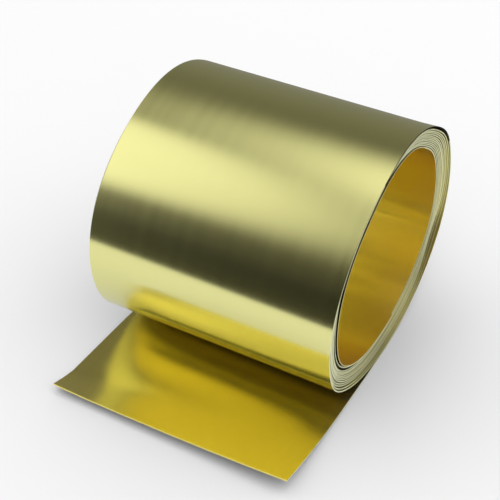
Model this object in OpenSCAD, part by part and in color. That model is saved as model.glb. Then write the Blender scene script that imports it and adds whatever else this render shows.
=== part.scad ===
// Roll of brass strip: one continuous strip wound into a coil that lies on
// its own loose end. +X runs along the coil's axis, the free end points
// towards -Y, and the origin is on the floor, at mid width, under the axis.

/* [Strip] */
// Width of the strip, which is also the length of the roll
strip_width = 100; // [50:5:200]
// Thickness of the strip
strip_thickness = 0.5; // [0.2:0.05:0.8]

/* [Coil] */
// Diameter of the open bore, inside the innermost turn
bore_diameter = 86; // [60:1:160]
// Number of turns in the coil
turns = 13; // [6:1:40]
// Air gap between one turn and the next
turn_gap = 0.29; // [0.05:0.01:0.5]
// Depth to which the gaps between the turns are open at the two ends
gap_depth = 0.8; // [0.4:0.1:2]
// Sideways shift of the innermost turn against the outermost one
dish = 2; // [0:0.25:4]
// How far single turns wander sideways from that slope
wander = 0.15; // [0:0.05:0.25]

/* [Loose end] */
// Length of the loose end, from under the axis to the cut edge
tail_length = 85; // [40:0.5:150]
// Part of the loose end that lies flat on the floor
tail_flat = 34; // [10:1:36]
// Height of the cut edge above the floor
tail_lift = 4.4; // [0:0.2:8]
// Strip that stays on the floor behind the axis before it climbs the back
heel = 5; // [3:0.5:6]

/* [Hidden] */
$fn = 180;

brass = [0.80, 0.68, 0.33];
pitch = strip_thickness + turn_gap;
bore_r = bore_diameter / 2;
coil_r = bore_r + (turns - 1) * pitch + strip_thickness;
// the outermost turn sinks almost fully into the strip it lies on
axis_z = coil_r + strip_thickness / 15;
half_w = strip_width / 2;

// inner radius of turn i, counted from the bore
function turn_r(i) = bore_r + i * pitch;
// sideways shift of turn i; the outermost turn is flush with the loose end
function turn_shift(i) =
    i == turns - 1 ? 0
    : dish * pow((turns - 1 - i) / (turns - 1), 1.3)
      + wander * sin(i * 137.508);

// one end of the coil, from the bore outwards: each turn stands as a rib,
// with an open gap before the next one
front_rim = [for (i = [0:turns - 1]) each concat(
    [[turn_r(i), half_w - turn_shift(i)],
     [turn_r(i) + strip_thickness, half_w - turn_shift(i)]],
    i == turns - 1 ? [] :
    [[turn_r(i) + strip_thickness,
      half_w - max(turn_shift(i), turn_shift(i + 1)) - gap_depth],
     [turn_r(i + 1),
      half_w - max(turn_shift(i), turn_shift(i + 1)) - gap_depth]])];

// the other end, from the outside back to the bore
back_rim = [for (k = [0:turns - 1]) let (i = turns - 1 - k) each concat(
    [[turn_r(i) + strip_thickness, -half_w - turn_shift(i)],
     [turn_r(i), -half_w - turn_shift(i)]],
    i == 0 ? [] :
    [[turn_r(i),
      -half_w - min(turn_shift(i), turn_shift(i - 1)) + gap_depth],
     [turn_r(i - 1) + strip_thickness,
      -half_w - min(turn_shift(i), turn_shift(i - 1)) + gap_depth]])];

// height of the loose end's underside, s millimetres in front of the axis
function lift(s) = s <= tail_flat ? 0
    : tail_lift * pow((s - tail_flat) / (tail_length - tail_flat), 2);
tail_steps = 16;
tail_s = concat([-heel, 0], [for (k = [0:tail_steps])
    tail_flat + (tail_length - tail_flat) * k / tail_steps]);

// the wound turns, turned about the axis, with the bore left open
module coil() {
    color(brass)
    translate([0, 0, axis_z])
    rotate([0, 90, 0])
    rotate_extrude()
    polygon(concat(front_rim, back_rim));
}

// the start of the outermost turn: the strip that the coil lies on, and its
// loose end curling up in front
module loose_end() {
    color(brass)
    translate([-half_w, 0, 0])
    rotate([90, 0, 90])
    linear_extrude(strip_width)
    polygon(concat(
        [for (s = tail_s) [-s, lift(s)]],
        [for (k = [0:len(tail_s) - 1]) let (s = tail_s[len(tail_s) - 1 - k])
            [-s, lift(s) + strip_thickness]]));
}

module brass_strip() {
    union() {
        coil();
        loose_end();
    }
}

brass_strip();
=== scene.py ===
"""Roll of brass strip: one continuous strip, wound into a coil that lies on its own loose end."""
import bpy
import math
import numpy as np
from mathutils import Matrix


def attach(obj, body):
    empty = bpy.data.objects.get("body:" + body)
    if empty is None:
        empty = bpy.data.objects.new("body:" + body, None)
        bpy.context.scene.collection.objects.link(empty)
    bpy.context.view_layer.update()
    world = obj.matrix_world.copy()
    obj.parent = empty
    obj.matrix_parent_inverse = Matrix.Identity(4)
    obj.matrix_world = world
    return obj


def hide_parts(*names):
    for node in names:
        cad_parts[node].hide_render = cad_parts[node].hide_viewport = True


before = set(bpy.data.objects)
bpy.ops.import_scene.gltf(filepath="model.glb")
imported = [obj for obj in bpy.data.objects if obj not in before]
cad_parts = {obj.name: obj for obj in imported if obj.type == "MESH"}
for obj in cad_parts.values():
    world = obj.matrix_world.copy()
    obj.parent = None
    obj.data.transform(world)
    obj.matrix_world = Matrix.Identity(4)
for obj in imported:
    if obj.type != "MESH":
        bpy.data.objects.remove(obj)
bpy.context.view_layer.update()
scene = bpy.context.scene
MM = 0.001


# ---------------------------------------------------------------- camera
def make_camera():
    focal_px, yaw, pitch, roll = 1104.0, math.radians(-27.28), math.radians(36.75), math.radians(2.44)
    place = (0.1540, -0.3221, 0.2985)
    fw = np.array([math.sin(yaw) * math.cos(pitch), math.cos(yaw) * math.cos(pitch), -math.sin(pitch)])
    rt = np.array([math.cos(yaw), -math.sin(yaw), 0.0])
    up = np.cross(rt, fw)
    r2 = rt * math.cos(roll) + up * math.sin(roll)
    u2 = -rt * math.sin(roll) + up * math.cos(roll)
    data = bpy.data.cameras.new("camera")
    data.sensor_width = 36.0
    data.lens = focal_px / 500.0 * 36.0
    data.clip_start = 0.01
    data.clip_end = 50.0
    cam = bpy.data.objects.new("camera", data)
    m = Matrix.Identity(4)
    for i in range(3):
        m[i][0], m[i][1], m[i][2], m[i][3] = r2[i], u2[i], -fw[i], place[i]
    cam.matrix_world = m
    scene.collection.objects.link(cam)
    scene.camera = cam


make_camera()

# ---------------------------------------------------------------- the strip's path (millimetres)
HALF = 50.0          # half the strip's width
T = 0.5              # thickness
TURNS = 13.05        # from the contact with the floor to the inner end
AXIS_Z = 48.5
SEG = 150            # rows per turn


def wrap(a):
    return (a + 180.0) % 360.0 - 180.0


def bump(a, centre, width):
    return np.exp(-(wrap(a - centre) / width) ** 2)


def outline(a):
    """Outer radius of the sagged coil, a in degrees from straight up towards the back."""
    t = np.radians(a)
    return (52.95 - 3.92 * np.cos(2 * t) + 0.17 * np.sin(2 * t) + 1.01 * np.cos(3 * t)
            + 0.45 * np.cos(4 * t) + 0.15 * np.sin(4 * t) + 1.10 * bump(a, -122, 14) + 1.00 * bump(a, 54, 13) - 0.35 * bump(a, 86, 12))


# clear gaps between the passes of the strip, from the outermost to the innermost
GAPS = (0.08, 0.26, 0.12, 0.08, 0.22, 0.08, 0.14, 0.06, 0.18, 0.08, 0.12, 0.16, 0.06, 0.06, 0.06)


def spacing(k, a):
    """Distance from pass k of the strip to the next one inwards, at angle a."""
    g = T + GAPS[k] + 0.22 * bump(a, -122, 14) * (k < 5)
    if k == 0:
        return g + 0.14 * bump(a, 42, 40) + 0.22 * bump(a, 46, 22) + 0.70 * bump(a, 118, 34) + 0.08 * bump(a, 176, 24)
    if k == 1:
        return g + 0.15 * bump(a, 30, 40) + 0.40 * bump(a, 130, 34)
    if k == 2:
        return g + 0.25 * bump(a, 150, 40) + 0.15 * bump(a, 220, 30)
    if k == 11:
        return g + 0.60 * bump(a, 205, 45) + 0.74 * bump(a, -110, 33) + 0.40 * bump(a, 80, 42) + 0.35 * bump(a, 152, 40)
    if k < 5:
        g = g + 0.10 * bump(a, 50, 16)
    if k >= 12:
        return g + 0.12 * bump(a, 60, 50)
    return g + 0.06 * bump(a, 47.0 * k, 70) + 0.05 * bump(a, 95, 50) + 0.03 * bump(a, 180, 60)


def coil_point(kappa, a):
    """(y, z) of the strip's mid surface at turn number kappa and angle a."""
    k = np.minimum(np.floor(kappa + 1e-9).astype(int), 13)
    f = kappa - k
    depth = np.zeros((16,) + a.shape)
    for j in range(15):
        depth[j + 1] = depth[j] + spacing(j, a)
    d = np.take_along_axis(depth, k[None], 0)[0] * (1 - f) + np.take_along_axis(depth, k[None] + 1, 0)[0] * f
    g = (180.0 - wrap(a - 1e-6)) / 360.0
    win = np.clip((1.0 - g) / 0.12, 0, 1)
    win = win * win * (3 - 2 * win)
    r = outline(a) + g * spacing(0, a) * win - d - T / 2
    t = np.radians(a)
    return r * np.sin(t), AXIS_Z + r * np.cos(t)


def side_shift(kappa):
    """How far a turn has slid along the axis: the outer turns stand proud at the +X end, and the innermost one wanders."""
    base = np.interp(kappa, [0.0, 0.7, 1.5, 2.5, 3.5, 10.5, 11.65, 12.0, 12.16, 12.36, 12.62, 13.2],
                     [0.0, 0.05, 0.60, 1.00, 1.30, 2.45, 2.45, 2.35, 2.75, 2.75, 1.75, 1.70])
    a = 180.0 - 360.0 * kappa
    low = 1.3 * bump(a, 112, 17) * np.clip(kappa - 0.6, 0, 1) * np.clip(9.0 - kappa, 0, 6) / 6
    base = base * (1.0 - 0.30 * bump(a, -98, 22))
    return -(base + low + 0.08 * np.sin(kappa * 2.3 + 0.5) * np.clip(kappa, 0, 1) + 0.05 * np.sin(kappa * 5.1))


TAIL = 85.0
FLARE = 0.30


def tail_lift(y, x):
    """Height of the loose end above the floor."""
    s = -y
    v = np.clip((x + HALF) / (2 * HALF), 0, 1)
    end = 3.0 + 0.6 * v + 2.6 * v ** 3
    start = 72.0 - 30.0 * v ** 1.6
    n = 1.35 + 0.65 * v
    q = np.clip((s - start) / (TAIL - start), 0, 1.2)
    edge = 0.55 * np.clip((0.2 - v) / 0.2, 0, 1) ** 2 * np.clip((s - 15.0) / 25.0, 0, 1)
    return (end - 1.8 * v) * q ** n + 0.03 * v * np.clip(s - 18.0, 0, None) + edge


def strip_grid(cols):
    """Mid surface points: rows along the strip from the free end, columns across it."""
    ys = -TAIL + TAIL * (np.arange(70) / 70.0)
    rows = []
    for y in ys:
        rows.append(np.stack([cols, np.full_like(cols, y), T / 2 + tail_lift(np.full_like(cols, y), cols)], 1))
    tail_rows = np.array(rows)
    n = int(TURNS * SEG)
    kappa = np.arange(n + 1) / SEG
    a = 180.0 - 360.0 * kappa
    y, z = coil_point(kappa, a)
    sh = side_shift(kappa)
    # the outermost turn's edge lifts a little at the +X end, where the black crescent shows
    lift = FLARE * bump(a, 41, 15) * (kappa < 0.9)
    lift = lift[:, None] * np.exp(-((HALF - cols[None, :]) / 3.5) ** 2)
    t = np.radians(a)[:, None]
    coil_rows = np.stack([cols[None, :] + sh[:, None], y[:, None] + lift * np.sin(t), z[:, None] + lift * np.cos(t)], 2)
    grid = np.concatenate([tail_rows, coil_rows], 0)
    # ease the strip from the floor into the coil
    m0, m1 = 55, 100
    part = grid[m0:m1].copy()
    for _ in range(6):
        part[1:-1] = 0.25 * part[:-2] + 0.5 * part[1:-1] + 0.25 * part[2:]
    grid[m0:m1] = part
    return grid


def build_strip():
    bev = 0.07
    cols = np.array([-HALF + bev, -47.5, -43.0, -35.0, -18.0, 0.0, 18.0, 35.0, 43.0, 47.5, HALF - bev])
    g = strip_grid(cols)
    nr, nc = g.shape[:2]
    tang = np.gradient(g, axis=0)
    tang[..., 0] = 0
    tang /= np.linalg.norm(tang, axis=2, keepdims=True)
    nrm = np.stack([np.zeros((nr, nc)), tang[..., 2], -tang[..., 1]], 2)
    outer = g + nrm * T / 2
    inner = g - nrm * T / 2
    left, right = g[:, :1] - [bev, 0, 0], g[:, -1:] + [bev, 0, 0]
    e = T / 2 - bev
    ring = np.concatenate([
        outer, right + nrm[:, -1:] * e, right - nrm[:, -1:] * e,
        inner[:, ::-1], left - nrm[:, :1] * e, left + nrm[:, :1] * e], 1)
    nv = ring.shape[1]
    verts = ring.reshape(-1, 3) * MM
    arc = np.concatenate([[0], np.cumsum(np.linalg.norm(np.diff(g[:, nc // 2], axis=0), axis=1))]) * MM
    across = np.concatenate([g[0, :, 0], [HALF + 0.1, HALF + 0.3], g[0, ::-1, 0] + 150, [-HALF + 149.9, -HALF - 0.1]]) * MM
    faces, mats, uvs = [], [], []
    # faces that lie inside the winding, by face of the strip; they are painted darker as shade
    wound_in = {0: lambda i: i > 70 + 1.03 * SEG, 1: lambda i: (i >= 68) & (i < 70 + (TURNS - 1.02) * SEG), 2: lambda i: i < 0}
    for j in range(nv):
        j2 = (j + 1) % nv
        if j < nc - 1:
            mat = 0
        elif nc + 1 < j < 2 * nc + 1:
            mat = 1
        else:
            mat = 2
        va, vb = across[j], across[j2]
        if j == nv - 1:
            vb = va + 0.0001
        i = np.arange(nr - 1)
        faces.append(np.stack([i * nv + j, i * nv + j2, (i + 1) * nv + j2, (i + 1) * nv + j], 1))
        # painted shade over the top of the outermost turn: its cut edge is painted nearly black where the gap beside it
        # lies in shade, and the faces inside the winding there take the darker outer copy
        painted_top_shade_rows = (i > 119) & (i < 156)
        shaded = (i > 70 + 12.40 * SEG) & (i < 70 + 12.86 * SEG)      # painted shade on the innermost turn at the front of the bore: its cut edge takes the darker inner copy, and the proud strip of its outer face beside the edge is painted nearly black
        edge = nc - 1 <= j <= nc + 1
        # painted shade in the slots: 4 is nearly black, and 5 and 6 are darker copies of the brass for faces in shade
        # inside the winding
        mats.append(np.where((i < 68) & (mat == 1), 3, np.where((painted_top_shade_rows & edge) | (shaded & (i > 70 + 12.61 * SEG) & (j == nc - 2)), 4, np.where(shaded & edge, 6, np.where(wound_in[mat](i), 5 + mat * ~painted_top_shade_rows, mat)))))
        u0, u1 = arc[:-1], arc[1:]
        uv = np.zeros((nr - 1, 4, 2))
        uv[:, 0, 0] = u0; uv[:, 1, 0] = u0; uv[:, 2, 0] = u1; uv[:, 3, 0] = u1
        uv[:, 0, 1] = va; uv[:, 1, 1] = vb; uv[:, 2, 1] = vb; uv[:, 3, 1] = va
        uvs.append(uv)
    faces = np.concatenate(faces); mats = np.concatenate(mats); uvs = np.concatenate(uvs)
    # the two cut ends
    caps, cap_uv = [], []
    for row, flip in ((0, False), (nr - 1, True)):
        base = row * nv
        ring_o = list(range(nc)) + [nc]
        ring_i = [2 * nc + 1 - q for q in range(nc)] + [nc + 1]
        quads = []
        for q in range(nc - 1):
            quads.append((ring_o[q], ring_o[q + 1], ring_i[q + 1], ring_i[q]))
        quads.append((nc - 1, nc, nc + 1, nc + 2))
        quads.append((nv - 1, 0, 2 * nc + 1, nv - 2))
        for q in quads:
            q = [base + w for w in q]
            caps.append(q if flip else q[::-1])
            cap_uv.append([[0.0, 0.3], [0.0, 0.301], [0.001, 0.301], [0.001, 0.3]])
    faces = np.concatenate([faces, np.array(caps)])
    mats = np.concatenate([mats, np.where(np.arange(len(caps)) < len(caps) // 2, 3, 1)])
    uvs = np.concatenate([uvs, np.array(cap_uv)])
    faces, uvs = faces[:, ::-1], uvs[:, ::-1]       # so that every face points out of the metal
    me = bpy.data.meshes.new("brass_strip_wound")
    me.from_pydata([tuple(v) for v in verts.tolist()], [], [tuple(f) for f in faces.tolist()])
    me.polygons.foreach_set("material_index", mats.astype(np.int32))
    me.polygons.foreach_set("use_smooth", np.ones(len(faces), bool))
    uv_layer = me.uv_layers.new(name="strip")
    uv_layer.data.foreach_set("uv", uvs.reshape(-1).astype(np.float32))
    me.update()
    # sharp where a face of the strip meets its slit edge, and round the cut ends
    sharp_cols = {0, nc - 1, nc + 2, 2 * nc + 1}
    ev = np.zeros(len(me.edges) * 2, np.int32)
    me.edges.foreach_get("vertices", ev)
    ev = ev.reshape(-1, 2)
    c0, c1 = ev[:, 0] % nv, ev[:, 1] % nv
    r0, r1 = ev[:, 0] // nv, ev[:, 1] // nv
    along = (c0 == c1) & np.isin(c0, list(sharp_cols))
    ends = (r0 == r1) & ((r0 == 0) | (r0 == nr - 1))
    attr = me.attributes.new("sharp_edge", "BOOLEAN", "EDGE")
    attr.data.foreach_set("value", (along | ends))
    me.validate()
    ob = bpy.data.objects.new("brass_strip_wound", me)
    scene.collection.objects.link(ob)
    return ob, arc


# ---------------------------------------------------------------- materials
def node(nt, kind, **props):
    n = nt.nodes.new(kind)
    for key, value in props.items():
        setattr(n, key, value)
    return n


def brass(name, colour, rough, aniso, streak, bump_mm, coat, coat_rough, painted_shade_bands=()):
    mat = bpy.data.materials.new(name)
    mat.use_nodes = True
    nt = mat.node_tree
    nt.nodes.clear()
    out = node(nt, "ShaderNodeOutputMaterial")
    bsdf = node(nt, "ShaderNodeBsdfPrincipled")
    nt.links.new(bsdf.outputs["BSDF"], out.inputs["Surface"])
    bsdf.inputs["Metallic"].default_value = 1.0
    bsdf.inputs["Anisotropic"].default_value = aniso
    bsdf.inputs["Anisotropic Rotation"].default_value = 0.25
    bsdf.inputs["Coat Weight"].default_value = coat
    bsdf.inputs["Coat Roughness"].default_value = coat_rough
    bsdf.inputs["Coat IOR"].default_value = 1.5
    tan = node(nt, "ShaderNodeTangent", direction_type="UV_MAP", uv_map="strip")
    nt.links.new(tan.outputs["Tangent"], bsdf.inputs["Tangent"])
    uv = node(nt, "ShaderNodeUVMap", uv_map="strip")
    # rolling lines: long along the strip, fine across it
    fine = node(nt, "ShaderNodeMapping")
    fine.inputs["Scale"].default_value = (6.0, 2600.0, 1.0)
    nt.links.new(uv.outputs["UV"], fine.inputs["Vector"])
    lines = node(nt, "ShaderNodeTexNoise")
    lines.inputs["Scale"].default_value = 1.0
    lines.inputs["Detail"].default_value = 3.0
    lines.inputs["Roughness"].default_value = 0.6
    nt.links.new(fine.outputs["Vector"], lines.inputs["Vector"])
    broad_map = node(nt, "ShaderNodeMapping")
    broad_map.inputs["Scale"].default_value = (3.0, 260.0, 1.0)
    nt.links.new(uv.outputs["UV"], broad_map.inputs["Vector"])
    broad = node(nt, "ShaderNodeTexNoise")
    broad.inputs["Scale"].default_value = 1.0
    broad.inputs["Detail"].default_value = 2.0
    nt.links.new(broad_map.outputs["Vector"], broad.inputs["Vector"])
    # roughness follows both
    both = node(nt, "ShaderNodeMath", operation="ADD")
    nt.links.new(lines.outputs["Fac"], both.inputs[0])
    nt.links.new(broad.outputs["Fac"], both.inputs[1])
    rr = node(nt, "ShaderNodeMapRange")
    rr.inputs["From Min"].default_value = 0.6
    rr.inputs["From Max"].default_value = 1.4
    rr.inputs["To Min"].default_value = rough - streak
    rr.inputs["To Max"].default_value = rough + streak
    nt.links.new(both.outputs[0], rr.inputs["Value"])
    nt.links.new(rr.outputs["Result"], bsdf.inputs["Roughness"])
    # a faint difference of colour along the same lines
    mix = node(nt, "ShaderNodeMix", data_type="RGBA")
    mix.inputs[6].default_value = (*[c * 0.965 for c in colour], 1)
    mix.inputs[7].default_value = (*colour, 1)
    nt.links.new(broad.outputs["Fac"], mix.inputs[0])
    face = mix.outputs[2]
    for centre, half, soft, left in painted_shade_bands:
        # painted shade round one place along the strip: turn number there, half its length and its soft rim in turns,
        # and the share of the colour left
        mid, flat, rim = along_at(centre), along_at(centre) - along_at(centre - half), along_at(centre) - along_at(centre - soft)
        place = node(nt, "ShaderNodeSeparateXYZ")
        nt.links.new(uv.outputs["UV"], place.inputs[0])
        away = node(nt, "ShaderNodeMath", operation="SUBTRACT")
        away.inputs[1].default_value = mid
        nt.links.new(place.outputs["X"], away.inputs[0])
        size = node(nt, "ShaderNodeMath", operation="ABSOLUTE")
        nt.links.new(away.outputs[0], size.inputs[0])
        share = node(nt, "ShaderNodeMapRange", interpolation_type="SMOOTHSTEP")
        share.inputs["From Min"].default_value = flat
        share.inputs["From Max"].default_value = flat + rim
        share.inputs["To Min"].default_value = left
        share.inputs["To Max"].default_value = 1.0
        nt.links.new(size.outputs[0], share.inputs["Value"])
        dim = node(nt, "ShaderNodeVectorMath", operation="SCALE")
        nt.links.new(face, dim.inputs[0])
        nt.links.new(share.outputs["Result"], dim.inputs["Scale"])
        face = dim.outputs[0]
    nt.links.new(face, bsdf.inputs["Base Color"])
    bp = node(nt, "ShaderNodeBump")
    bp.inputs["Strength"].default_value = 1.0
    bp.inputs["Distance"].default_value = bump_mm * MM
    nt.links.new(lines.outputs["Fac"], bp.inputs["Height"])
    nt.links.new(bp.outputs["Normal"], bsdf.inputs["Normal"])
    return mat


strip, arc = build_strip()


def along_at(turn):
    """Length along the strip at a turn number, in metres."""
    return float(np.interp(70 + turn * SEG, np.arange(len(arc)), arc))


# painted shade: the outer face is darkened to half its colour round turn 0.98, low under the roll where it sits over
# the loose end
strip.data.materials.append(brass("brass_outer_face", (0.80, 0.78, 0.33), 0.20, 0.75, 0.02, 0.0002, 0.1, 0.3, [(0.98, 0.05, 0.07, 0.5)]))
strip.data.materials.append(brass("brass_inner_face", (0.968, 0.866, 0.28), 0.18, 0.78, 0.008, 0.0001, 0.6, 0.40))
strip.data.materials.append(brass("brass_slit_edge", (0.88, 0.89, 0.55), 0.38, 0.0, 0.05, 0.001, 0.0, 0.3))
strip.data.materials.append(brass("brass_loose_end", (0.92, 0.79, 0.19), 0.17, 0.70, 0.02, 0.0002, 0.5, 0.5))
# painted shade: nearly black and not metallic, for the outermost turn's cut edge over the top of the roll, where the
# gap beside it lies in shade, and for the innermost turn's proud face at the front of the bore
painted_shade_black = brass("brass_painted_shade_edge", (0.012, 0.011, 0.008), 0.6, 0.0, 0.02, 0.0002, 0.0, 0.3)
painted_shade_black.node_tree.nodes["Principled BSDF"].inputs["Metallic"].default_value = 0.0
painted_shade_black.node_tree.nodes["Principled BSDF"].inputs["Specular IOR Level"].default_value = 0.0
strip.data.materials.append(painted_shade_black)
# painted shade: darker copies of the brass for the faces inside the winding, seen only down the gaps between turns
strip.data.materials.append(brass("brass_painted_shade_wound_in_outer", (0.24, 0.20, 0.08), 0.30, 0.5, 0.02, 0.0002, 0.0, 0.3))
strip.data.materials.append(brass("brass_painted_shade_wound_in_inner", (0.66, 0.58, 0.20), 0.30, 0.5, 0.02, 0.0002, 0.0, 0.3))
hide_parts("brass_strip")
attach(strip, "root")


# ---------------------------------------------------------------- floor and light
def make_floor():
    mat = bpy.data.materials.new("floor")
    mat.use_nodes = True
    b = mat.node_tree.nodes["Principled BSDF"]
    b.inputs["Base Color"].default_value = (0.80, 0.80, 0.80, 1)
    b.inputs["Roughness"].default_value = 1.0
    b.inputs["Specular IOR Level"].default_value = 0.0
    z = -0.0001
    n = 96
    ring = [(math.cos(2 * math.pi * i / n), math.sin(2 * math.pi * i / n)) for i in range(n)]
    # a table top with well rounded corners
    cx, cy, wide, deep, power = -0.06, -0.018, 0.33, 0.184, 0.5
    inner = [(cx + wide * math.copysign(abs(c) ** power, c), cy + deep * math.copysign(abs(s) ** power, s), z) for c, s in ring]
    outer = [(8.0 * c, 8.0 * s, z) for c, s in ring]
    me = bpy.data.meshes.new("floor_near")
    me.from_pydata(inner, [], [tuple(range(n))])
    me2 = bpy.data.meshes.new("floor_far")
    me2.from_pydata(inner + outer, [], [(i, (i + 1) % n, n + (i + 1) % n, n + i) for i in range(n)])
    for m in (me, me2):
        m.materials.append(mat)
        ob = bpy.data.objects.new(m.name, m)
        scene.collection.objects.link(ob)
    # the room beyond the table's pale top is dark in the metal
    ob.visible_glossy = False


make_floor()

# the dim, warm room by the angle round the X axis (0 towards -Y, 90 up, 180 towards +Y): angle, radiance, share of blue
ROOM = [(-180, 0.22, 0.9), (-120, 0.30, 0.9), (-60, 0.20, 0.8), (-20, 0.035, 0.65), (8, 0.012, 0.62), (30, 0.038, 0.65), (60, 0.12, 0.7), (110, 0.17, 0.82), (135, 0.153, 0.88),
        (160, 0.20, 0.92), (180, 0.22, 0.92)]
# round soft lamps and a pale panel beside the -X end: lean towards +X, angle round the X axis, radiance, angle where they fade out, width of the fade, and
# the power of the fade (0 for an even lamp with a soft rim). No lamp is brighter than LIMIT.
LIMIT = 1.20
LAMPS = [(-0.656, 62.2, 1.08, 27.2, 8.0, 0.0), (0.034, 98.1, 3.40, 35.3, 35.3, 1.75), (-0.999, 5.0, 0.82, 57.0, 28.0, 0.0), (-0.800, 38.0, 0.40, 29.0, 18.0, 0.0),
         (-0.400, 78.0, 0.06, 19.0, 10.0, 0.0)]


def make_world():
    world = bpy.data.worlds.new("room")
    scene.world = world
    world.use_nodes = True
    nt = world.node_tree
    nt.nodes.clear()
    out = node(nt, "ShaderNodeOutputWorld")
    tc = node(nt, "ShaderNodeTexCoord")
    sep = node(nt, "ShaderNodeSeparateXYZ")
    nt.links.new(tc.outputs["Generated"], sep.inputs[0])
    neg = node(nt, "ShaderNodeMath", operation="MULTIPLY")
    neg.inputs[1].default_value = -1.0
    nt.links.new(sep.outputs["Y"], neg.inputs[0])
    ang = node(nt, "ShaderNodeMath", operation="ARCTAN2")
    nt.links.new(sep.outputs["Z"], ang.inputs[0])
    nt.links.new(neg.outputs[0], ang.inputs[1])
    unit = node(nt, "ShaderNodeMapRange")
    unit.inputs["From Min"].default_value = -math.pi
    unit.inputs["From Max"].default_value = math.pi
    nt.links.new(ang.outputs[0], unit.inputs["Value"])
    ramp = node(nt, "ShaderNodeValToRGB")
    ramp.color_ramp.interpolation = "LINEAR"
    el = ramp.color_ramp.elements
    while len(el) > 1:
        el.remove(el[-1])
    for i, (deg, v, blue) in enumerate(ROOM):
        e = el[0] if i == 0 else el.new((deg + 180.0) / 360.0)
        e.position = (deg + 180.0) / 360.0
        e.color = (v, v * (0.88 + 0.12 * blue), v * blue, 1)
    nt.links.new(unit.outputs["Result"], ramp.inputs["Fac"])
    total = None
    for lean, psi, radiance, outer, fade, power in LAMPS:
        p, flat = math.radians(psi), math.sqrt(1 - lean * lean)
        dot = node(nt, "ShaderNodeVectorMath", operation="DOT_PRODUCT")
        dot.inputs[1].default_value = (lean, -math.cos(p) * flat, math.sin(p) * flat)
        nt.links.new(tc.outputs["Generated"], dot.inputs[0])
        away = node(nt, "ShaderNodeMath", operation="ARCCOSINE")
        nt.links.new(dot.outputs["Value"], away.inputs[0])
        soft = node(nt, "ShaderNodeMapRange")
        soft.inputs["From Min"].default_value = math.radians(outer)
        soft.inputs["From Max"].default_value = math.radians(outer - fade)
        nt.links.new(away.outputs[0], soft.inputs["Value"])
        if power:
            shape = node(nt, "ShaderNodeMath", operation="POWER")
            shape.inputs[1].default_value = power
            nt.links.new(soft.outputs["Result"], shape.inputs[0])
        else:
            soft.interpolation_type = "SMOOTHSTEP"
            shape = soft
        lamp = node(nt, "ShaderNodeMath", operation="MULTIPLY")
        lamp.inputs[1].default_value = radiance
        nt.links.new(shape.outputs[0], lamp.inputs[0])
        if radiance > LIMIT:
            even = node(nt, "ShaderNodeMath", operation="MINIMUM")
            even.inputs[1].default_value = LIMIT
            nt.links.new(lamp.outputs[0], even.inputs[0])
            lamp = even
        if total is None:
            total = lamp.outputs[0]
            continue
        add = node(nt, "ShaderNodeMath", operation="ADD")
        nt.links.new(total, add.inputs[0])
        nt.links.new(lamp.outputs[0], add.inputs[1])
        total = add.outputs[0]
    dim = node(nt, "ShaderNodeBackground")
    nt.links.new(ramp.outputs["Color"], dim.inputs["Color"])
    lit = node(nt, "ShaderNodeBackground")
    lit.inputs["Color"].default_value = (1.0, 0.985, 1.0, 1)
    nt.links.new(total, lit.inputs["Strength"])
    room = node(nt, "ShaderNodeAddShader")
    nt.links.new(dim.outputs[0], room.inputs[0])
    nt.links.new(lit.outputs[0], room.inputs[1])
    plain = node(nt, "ShaderNodeBackground")
    plain.inputs["Color"].default_value = (1.09, 1.09, 1.09, 1)
    path = node(nt, "ShaderNodeLightPath")
    pick = node(nt, "ShaderNodeMixShader")
    nt.links.new(path.outputs["Is Glossy Ray"], pick.inputs[0])
    nt.links.new(plain.outputs[0], pick.inputs[1])
    nt.links.new(room.outputs[0], pick.inputs[2])
    nt.links.new(pick.outputs[0], out.inputs["Surface"])


make_world()


def area(name, place, aim, size, energy, colour=(1, 1, 1), glossy=True):
    data = bpy.data.lights.new(name, "AREA")
    data.shape = "DISK"
    data.size = size
    data.energy = energy
    data.color = colour
    ob = bpy.data.objects.new(name, data)
    scene.collection.objects.link(ob)
    d = np.array(aim, float) - np.array(place, float)
    d /= np.linalg.norm(d)
    z = -d
    x = np.cross([0, 1, 0.01], z); x /= np.linalg.norm(x)
    y = np.cross(z, x)
    m = Matrix.Identity(4)
    for i in range(3):
        m[i][0], m[i][1], m[i][2], m[i][3] = x[i], y[i], z[i], place[i]
    ob.matrix_world = m
    ob.visible_glossy = glossy
    ob.visible_camera = False
    return ob


area("soft_fill", (0.15, 0.1, 1.1), (0, 0, 0), 1.8, 3.0, glossy=False)

scene.view_settings.view_transform = "Standard"
scene.view_settings.look = "None"
scene.view_settings.exposure = 0.0
scene.view_settings.gamma = 1.0
scene.cycles.max_bounces = 16
scene.cycles.glossy_bounces = 16
scene.cycles.caustics_reflective = False
